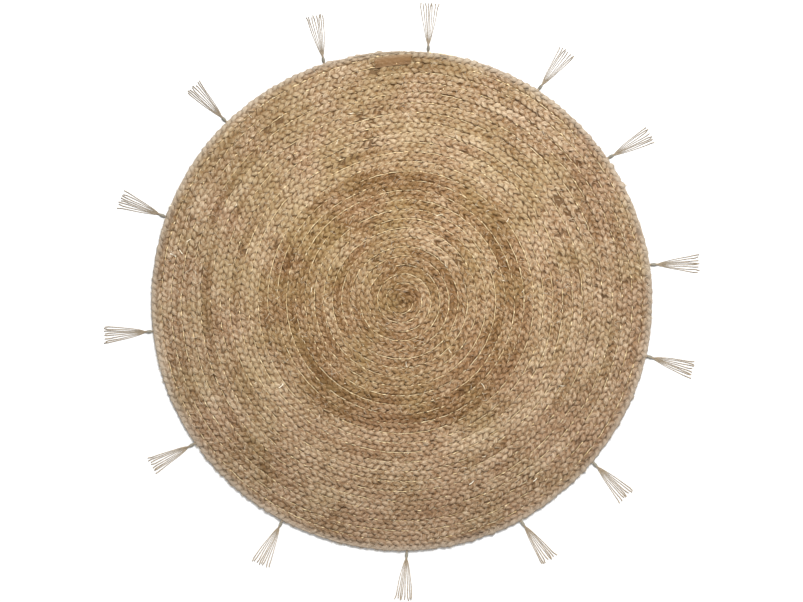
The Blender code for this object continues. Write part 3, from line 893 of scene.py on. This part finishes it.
def fuzzTree():
    tree, given = newTree("looseFibres", {
        "Density": 0.0, "Least Radius": 0.0, "Shortest": 0.0, "Longest": 0.0, "Least Stand": 0.0,
        "Most Stand": 0.0, "Thickness": 0.0, "Sides": fuzz["sides"], "Bends": fuzz["bends"],
        "Least Slope": 0.0, "Most Slope": 1.0, "Floor": braid["floor"], "Ceiling": fuzz["ceiling"],
        "Seed": fuzz["seed"], "Material": None,
    })
    spot = addNode(tree, "GeometryNodeInputPosition")
    flat = addNode(tree, "ShaderNodeVectorMath", {0: spot, 1: (1.0, 1.0, 0.0)}, operation="MULTIPLY")
    radius = addNode(tree, "ShaderNodeVectorMath", {0: flat}, "Value", operation="LENGTH")
    outside = addNode(tree, "ShaderNodeMath", {0: radius, 1: given["Least Radius"]},
                      operation="GREATER_THAN")
    facing = addNode(tree, "GeometryNodeInputNormal")
    facing = addNode(tree, "ShaderNodeSeparateXYZ", {0: facing}, "Z")
    above = addNode(tree, "ShaderNodeMath", {0: facing, 1: given["Least Slope"]}, operation="GREATER_THAN")
    below = addNode(tree, "ShaderNodeMath", {0: facing, 1: given["Most Slope"]}, operation="LESS_THAN")
    chosen = addNode(tree, "ShaderNodeMath", {0: outside, 1: above}, operation="MULTIPLY")
    chosen = addNode(tree, "ShaderNodeMath", {0: chosen, 1: below}, operation="MULTIPLY")
    chosen = addNode(tree, "ShaderNodeMath", {0: chosen, 1: 0.5}, operation="GREATER_THAN")
    roots = addNode(tree, "GeometryNodeDistributePointsOnFaces", {"Mesh": given["Geometry"],
                    "Selection": chosen, "Density": given["Density"], "Seed": given["Seed"]}, "Points")
    turned = roots.node.outputs["Rotation"]
    heading = addNode(tree, "FunctionNodeRandomValue", {"Min": 0.0, "Max": 2.0 * math.pi, "Seed": 11},
                      data_type="FLOAT")
    heading = addNode(tree, "ShaderNodeCombineXYZ", {2: heading})
    heading = addNode(tree, "FunctionNodeEulerToRotation", {0: heading})
    turned = addNode(tree, "FunctionNodeRotateRotation", {0: turned, 1: heading}, rotation_space="LOCAL")
    stand = addNode(tree, "FunctionNodeRandomValue", {"Min": given["Least Stand"],
                    "Max": given["Most Stand"], "Seed": 12}, data_type="FLOAT")
    stand = addNode(tree, "ShaderNodeMath", {0: stand, 1: -1.0}, operation="MULTIPLY")
    stand = addNode(tree, "ShaderNodeCombineXYZ", {1: stand})
    stand = addNode(tree, "FunctionNodeEulerToRotation", {0: stand})
    turned = addNode(tree, "FunctionNodeRotateRotation", {0: turned, 1: stand}, rotation_space="LOCAL")
    length = addNode(tree, "FunctionNodeRandomValue", {"Min": given["Shortest"], "Max": given["Longest"],
                     "Seed": 13}, data_type="FLOAT")
    # one bent fibre, a metre long before it is scaled
    fibre = addNode(tree, "GeometryNodeCurveQuadraticBezier", {"Resolution": given["Bends"],
                    "Start": (0.0, 0.0, 0.0), "Middle": (0.5, 0.16, 0.12), "End": (1.0, 0.0, 0.05)})
    ring = addNode(tree, "GeometryNodeCurvePrimitiveCircle", {"Resolution": given["Sides"], "Radius": 1.0})
    mean = addNode(tree, "ShaderNodeMath", {0: given["Shortest"], 1: given["Longest"]}, operation="ADD")
    half = addNode(tree, "ShaderNodeMath", {0: given["Thickness"], 1: mean}, operation="DIVIDE")
    fibre = addNode(tree, "GeometryNodeCurveToMesh", {"Curve": fibre, "Profile Curve": ring, "Scale": half})
    fibres = addNode(tree, "GeometryNodeInstanceOnPoints", {"Points": roots, "Instance": fibre,
                     "Rotation": turned, "Scale": length})
    # none goes into the floor or stands far above the braid
    fibres = addNode(tree, "GeometryNodeRealizeInstances", {"Geometry": fibres})
    here = addNode(tree, "GeometryNodeInputPosition")
    x = addNode(tree, "ShaderNodeSeparateXYZ", {0: here}, "X")
    z = addNode(tree, "ShaderNodeMath", {0: x.node.outputs["Z"], 1: given["Floor"]}, operation="MAXIMUM")
    z = addNode(tree, "ShaderNodeMath", {0: z, 1: given["Ceiling"]}, operation="MINIMUM")
    rest = addNode(tree, "ShaderNodeCombineXYZ", {0: x, 1: x.node.outputs["Y"], 2: z})
    fibres = addNode(tree, "GeometryNodeSetPosition", {"Geometry": fibres, "Position": rest})
    finishTree(tree, fibres, given["Material"])
    return tree


looseFibre = makeFuzz("looseJuteFibre", fuzz["colours"])
straw = makeFuzz("stalkFlakeGlint", fuzz["strawGlintColours"])
tree = fuzzTree()
loose = []
for number, (letter, strand) in enumerate(zip("ABC", strands)):
    for kind in fuzz["kinds"]:
        guide = bpy.data.objects.new("fuzzGuide", strand.data.copy())
        bpy.context.scene.collection.objects.link(guide)
        loose.append(growPiece(f"{kind['name']}Fibres{letter}", guide, tree, {
            "Density": kind["density"], "Least Radius": kind["leastRadius"],
            "Shortest": kind["length"][0], "Longest": kind["length"][1],
            "Least Stand": kind["stand"][0], "Most Stand": kind["stand"][1],
            "Least Slope": kind["slope"][0], "Most Slope": kind["slope"][1],
            "Thickness": kind["thickness"], "Seed": fuzz["seed"] + number,
            "Material": straw if kind["name"] == "straw" else looseFibre,
        }))


# the tassels: eight yarns pulled through the rim, knotted, and cut off
tassel = {
    "count": 14,
    "yarns": 8,
    "yarnThickness": 0.0022,
    "flatness": 0.86,           # of a yarn's section
    "waist": 0.78,              # between its two plies
    "spacing": 0.0022,
    "sides": 8,
    "twistPitch": 0.0062,
    "length": 0.120,
    "lengthSpread": 0.0016,
    "loopDepth": 0.008,         # how far the yarns reach into the rim
    "knotEnd": 0.0150,
    "neckEnd": 0.021,
    "fanStart": 0.030,
    "neckPitch": 0.00050,       # from yarn to yarn in the neck
    "tipPitch": 0.0060,         # and at the cut ends
    "fanPower": 0.72,
    "knotHeight": 0.0046,
    "bunchSpread": 0.0011,      # how far yarns lie over and under each other in the knot
    "clearance": 0.0002,        # from the floor
    "crossing": 0.0007,         # how much higher every other yarn lies near the neck
    "sway": 0.0013,
    "swayWave": 26.0,           # radians to a metre
    "rippleWave": 95.0,
    "rippleShare": 0.35,
    "curl": 0.0020,             # how far the cut ends turn aside
    "curlLength": 0.011,
    "neckFullness": 0.85,
    "fray": 0.58,               # how much thicker than spun the cut ends are
    "phases": {                 # radians that each yarn and each tassel add, so that no two are alike
        "length": (2.3, 1.7), "sway": (1.3, 2.1), "ripple": (2.9, 1.0), "curl": (1.9, 2.7),
        "bunch": (2.4, 0.0),
    },
    "fibreStep": 0.5,           # metres by which each point shifts the next yarn's fibre pattern
    # the knot: one end wound round the yarns
    "knotStart": 0.0034,
    "wraps": 5,
    "pointsPerWrap": 14,
    "wrapThickness": 0.0021,
    "wrapRadius": 0.0033,
    "wrapFlatness": 0.95,
    "knotTaper": 0.35,          # how much smaller the knot is at its ends
    # colours
    "yarnColours": ("#8A7A65", "#BBA98E"),
    "knotColours": ("#777265", "#A8A292"),
    "toneRange": (0.30, 0.70),
    "streaks": (90.0, 1500.0, 1500.0),  # to a metre: about 11 mm along the yarn by 0.7 mm
    "paintedShades": (1.16, 0.66),     # painted brightness on the near side and the far side, darker towards the lamp so the twine looks even under it
}


def makeYarn(name, colours):  # two-ply jute twine: dull grey-beige, its plies winding round each other
    material, tree = newMaterial(name)
    straight = addNode(tree, "ShaderNodeAttribute", {}, "Vector", attribute_name="fibre")
    space = addNode(tree, "ShaderNodeVectorMath", {0: straight, 1: tassel["streaks"]}, operation="MULTIPLY")
    tone = addNode(tree, "ShaderNodeTexNoise", {"Vector": space, "Scale": 1.0, "Detail": 3.0})
    ramp = addNode(tree, "ShaderNodeValToRGB", {0: tone})
    stops = ramp.node.color_ramp.elements
    for stop, position, colour in zip(stops, tassel["toneRange"], colours):
        stop.position = position
        stop.color = hexColour(colour)
    # painted shade: the twine is darker on the far side, nearer the lamp, and paler on the near side, to
    # even out the lamp's light
    place = addNode(tree, "ShaderNodeTexCoord", {}, "Object")
    back = addNode(tree, "ShaderNodeSeparateXYZ", {0: place}, "Y")
    near, far = tassel["paintedShades"]
    shade = addNode(tree, "ShaderNodeMapRange", {"Value": back, "From Min": -rugRadius,
                    "From Max": rugRadius, "To Min": near, "To Max": far})
    colour = addNode(tree, "ShaderNodeHueSaturation", {"Color": ramp, "Value": shade})
    bump = addNode(tree, "ShaderNodeBump", {"Height": tone, "Strength": 0.5, "Distance": 0.0006})
    shader = addNode(tree, "ShaderNodeBsdfPrincipled", {"Base Color": colour, "Roughness": 0.8,
                     "Normal": bump, "Sheen Weight": 0.1})
    addNode(tree, "ShaderNodeOutputMaterial", {"Surface": shader})
    return material


def tasselPlace(node):  # where a tassel is tied and the way it points, from its solid
    points = np.array([vertex.co[:2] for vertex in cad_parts[node].data.vertices])
    reach = np.linalg.norm(points, axis=1)
    root = points[np.argmin(reach)]
    tips = points[np.linalg.norm(points - root, axis=1) > 0.9 * tassel["length"]].mean(axis=0)
    forward = (tips - root) / np.linalg.norm(tips - root)
    return root, forward


def yarnTree():
    tree, given = newTree("twistedYarn", {
        "Thickness": tassel["yarnThickness"], "Sides": tassel["sides"], "Twist Pitch": tassel["twistPitch"],
        "Flatness": tassel["flatness"], "Waist": tassel["waist"], "Material": None,
    })
    along = addNode(tree, "GeometryNodeInputNamedAttribute", {"Name": "along"}, data_type="FLOAT")
    fullness = addNode(tree, "GeometryNodeInputNamedAttribute", {"Name": "fullness"}, data_type="FLOAT")
    curve = addNode(tree, "GeometryNodeMeshToCurve", {"Mesh": given["Geometry"]})
    curve = addNode(tree, "GeometryNodeSetCurveNormal", {"Curve": curve}, mode="MINIMUM_TWIST")
    turns = addNode(tree, "ShaderNodeMath", {0: along, 1: given["Twist Pitch"]}, operation="DIVIDE")
    tilt = addNode(tree, "ShaderNodeMath", {0: turns, 1: 2.0 * math.pi}, operation="MULTIPLY")
    curve = addNode(tree, "GeometryNodeSetCurveTilt", {"Curve": curve, "Tilt": tilt})
    # two plies side by side: a section with a waist
    section = addNode(tree, "GeometryNodeCurvePrimitiveCircle", {"Resolution": given["Sides"],
                      "Radius": 1.0})
    spot = addNode(tree, "GeometryNodeInputPosition")
    x = addNode(tree, "ShaderNodeSeparateXYZ", {0: spot}, "X")
    waist = addNode(tree, "ShaderNodeMath", {0: x, 1: x}, operation="MULTIPLY")
    waist = addNode(tree, "ShaderNodeMapRange", {"Value": waist, "To Min": given["Waist"], "To Max": 1.0})
    y = addNode(tree, "ShaderNodeMath", {0: x.node.outputs["Y"], 1: waist}, operation="MULTIPLY")
    y = addNode(tree, "ShaderNodeMath", {0: y, 1: given["Flatness"]}, operation="MULTIPLY")
    shape = addNode(tree, "ShaderNodeCombineXYZ", {0: x, 1: y})
    half = addNode(tree, "ShaderNodeMath", {0: given["Thickness"], 1: 0.5}, operation="MULTIPLY")
    shape = addNode(tree, "ShaderNodeVectorMath", {0: shape, "Scale": half}, operation="SCALE")
    section = addNode(tree, "GeometryNodeSetPosition", {"Geometry": section, "Position": shape})
    section = addNode(tree, "GeometryNodeStoreNamedAttribute", {"Geometry": section, "Name": "section",
                      "Value": shape}, data_type="FLOAT_VECTOR", domain="POINT")
    yarn = addNode(tree, "GeometryNodeCurveToMesh", {"Curve": curve, "Profile Curve": section,
                   "Scale": fullness, "Fill Caps": True})
    yarn = storeFibre(tree, yarn, along)
    finishTree(tree, yarn, given["Material"])
    return tree


def yarnLine(yarn, number):  # along the tassel, across it and up, from inside the rim to the cut end
    phase = {name: yarn * one + number * other for name, (one, other) in tassel["phases"].items()}
    length = tassel["length"] - tassel["lengthSpread"] * (1.0 + math.sin(phase["length"]))
    along = np.arange(-tassel["loopDepth"], length, tassel["spacing"])
    # the yarns fan out past the neck, each with a slow sway and a smaller ripple
    across = yarn - (tassel["yarns"] - 1) / 2.0
    fan = np.clip((along - tassel["neckEnd"]) / (tassel["length"] - tassel["neckEnd"]), 0.0, 1.0)
    pitch = tassel["neckPitch"] + (tassel["tipPitch"] - tassel["neckPitch"]) * fan ** tassel["fanPower"]
    sway = np.sin(tassel["swayWave"] * along + phase["sway"])
    sway += tassel["rippleShare"] * np.sin(tassel["rippleWave"] * along + phase["ripple"])
    curl = smoothStep((along - length + tassel["curlLength"]) / tassel["curlLength"])
    side = across * pitch + tassel["sway"] * fan * sway
    side += tassel["curl"] * curl * math.sin(phase["curl"])
    # they come down from the knot to the floor
    neck = tassel["neckFullness"]
    fullness = neck + (1.0 - neck + tassel["fray"]) * fan ** 2
    ground = fullness * tassel["yarnThickness"] / 2.0 + tassel["clearance"]
    ground += tassel["crossing"] * (yarn % 2) * (1.0 - fan)
    settle = smoothStep((along - tassel["knotEnd"]) / (tassel["fanStart"] - tassel["knotEnd"]))
    bunch = tassel["knotHeight"] + tassel["bunchSpread"] * math.cos(phase["bunch"])
    up = bunch + (ground - bunch) * settle
    return along, side, up, fullness


def wrapLine():  # the knot: the yarns' own end wound round them
    steps = tassel["wraps"] * tassel["pointsPerWrap"]
    turn = np.arange(steps + 1) / tassel["pointsPerWrap"]
    share = turn / tassel["wraps"]
    radius = tassel["wrapRadius"] * (1.0 - tassel["knotTaper"] * (2.0 * share - 1.0) ** 2)
    along = tassel["knotStart"] + (tassel["knotEnd"] - tassel["knotStart"]) * share
    side = radius * np.cos(2.0 * math.pi * turn)
    up = tassel["knotHeight"] + radius * np.sin(2.0 * math.pi * turn)
    return along, side, up, np.ones_like(along)


def lineGuide(name, lines, root, forward):  # lines in a tassel's own directions, placed in the rug's
    points, edges, runs, fullness = [], [], [], []
    for along, side, up, full in lines:
        first = len(points)
        x = root[0] + along * forward[0] - side * forward[1]
        y = root[1] + along * forward[1] + side * forward[0]
        place = np.stack([x, y, up], axis=1)
        steps = np.linalg.norm(np.diff(place, axis=0), axis=1)
        runs += list(np.concatenate([[0.0], np.cumsum(steps)]) + tassel["fibreStep"] * len(runs))
        points += list(place)
        fullness += list(full)
        edges += [(first + index, first + index + 1) for index in range(len(place) - 1)]
    return newGuide(name, points, edges, {"along": runs, "fullness": fullness})


twine = makeYarn("juteTwine", tassel["yarnColours"])
knotTwine = makeYarn("knottedTwine", tassel["knotColours"])
tree = yarnTree()
tassels = []
for number in range(1, tassel["count"] + 1):
    node = f"tassel_{number:02d}"
    root, forward = tasselPlace(node)
    lines = [yarnLine(yarn, number) for yarn in range(tassel["yarns"])]
    yarnGuide = lineGuide("yarnGuide", lines, root, forward)
    yarns = growPiece(f"tasselYarns{number:02d}", yarnGuide, tree, {"Material": twine})
    knotGuide = lineGuide("knotGuide", [wrapLine()], root, forward)
    knot = growPiece(f"tasselKnot{number:02d}", knotGuide, tree, {
        "Material": knotTwine, "Thickness": tassel["wrapThickness"], "Flatness": tassel["wrapFlatness"],
    })
    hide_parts(node)
    tassels += [yarns, knot]
print("tassels tied")


# bodies: every piece hangs from the root body, and the imported disc is hidden
onMat = [*strands, edgeStrand, boundFibre, thread, *loose]
for piece in [packedFibre, *onMat]:
    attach(piece, "root")
for piece in tassels:
    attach(piece, "root")
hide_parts("braided_disc")


# floor, light and camera
studio = {
    "floorSize": 12.0,
    "floorShades": (0.60, 0.97),    # greyer under the lamp, so that it photographs evenly white
    "floorReach": 2.15,             # from the lamp's foot to where it is palest
    "skyStrength": 0.52,
    "keyEnergy": 134.5,
    "keySize": 1.0,
    "keyPlace": (0.38, 1.26, 2.5),
    "cameraHeight": 3.2,
    "imageWidth": 803,
    "imageHeight": 602,
    "discCentre": (401.7, 300.7),   # pixels
    "discRadius": 250.5,            # pixels
    "sensor": 36.0,                 # millimetres
}


def makeFloor():
    half = studio["floorSize"] / 2.0
    corners = [(-half, -half, 0.0), (half, -half, 0.0), (half, half, 0.0), (-half, half, 0.0)]
    mesh = bpy.data.meshes.new("studioFloor")
    mesh.from_pydata(corners, [], [(0, 1, 2, 3)])
    material, tree = newMaterial("seamlessPaper")  # matt white paper
    place = addNode(tree, "ShaderNodeTexCoord", {}, "Object")
    fromLamp = addNode(tree, "ShaderNodeVectorMath", {0: place, 1: (*studio["keyPlace"][:2], 0.0)},
                       operation="SUBTRACT")
    distance = addNode(tree, "ShaderNodeVectorMath", {0: fromLamp, 1: fromLamp}, "Value",
                       operation="DOT_PRODUCT")
    least, most = studio["floorShades"]
    shade = addNode(tree, "ShaderNodeMapRange", {"Value": distance, "From Max": studio["floorReach"] ** 2,
                    "To Min": least, "To Max": most})
    shader = addNode(tree, "ShaderNodeBsdfPrincipled", {"Base Color": shade, "Roughness": 0.9})
    addNode(tree, "ShaderNodeOutputMaterial", {"Surface": shader})
    mesh.materials.append(material)
    floor = bpy.data.objects.new("studioFloor", mesh)
    bpy.context.scene.collection.objects.link(floor)


def makeLight():
    world = bpy.data.worlds.new("studio")
    world.use_nodes = True
    world.node_tree.nodes["Background"].inputs["Color"].default_value = (1.0, 1.0, 1.0, 1.0)
    world.node_tree.nodes["Background"].inputs["Strength"].default_value = studio["skyStrength"]
    bpy.context.scene.world = world
    key = bpy.data.lights.new("softbox", "AREA")
    key.energy = studio["keyEnergy"]
    key.size = studio["keySize"]
    lamp = bpy.data.objects.new("softbox", key)
    lamp.location = studio["keyPlace"]
    lamp.visible_camera = False
    bpy.context.scene.collection.objects.link(lamp)


def makeCamera():
    data = bpy.data.cameras.new("camera")
    data.sensor_width = studio["sensor"]
    distance = studio["cameraHeight"] - matThickness
    data.lens = studio["discRadius"] * distance / rugRadius * studio["sensor"] / studio["imageWidth"]
    camera = bpy.data.objects.new("camera", data)
    metresPerPixel = rugRadius / studio["discRadius"]
    aside = (studio["imageWidth"] / 2.0 - studio["discCentre"][0]) * metresPerPixel
    upward = (studio["discCentre"][1] - studio["imageHeight"] / 2.0) * metresPerPixel
    camera.location = (aside, upward, studio["cameraHeight"])
    bpy.context.scene.collection.objects.link(camera)
    bpy.context.scene.camera = camera


makeFloor()
makeLight()
makeCamera()
bpy.context.scene.view_settings.view_transform = "Standard"
print("studio ready")
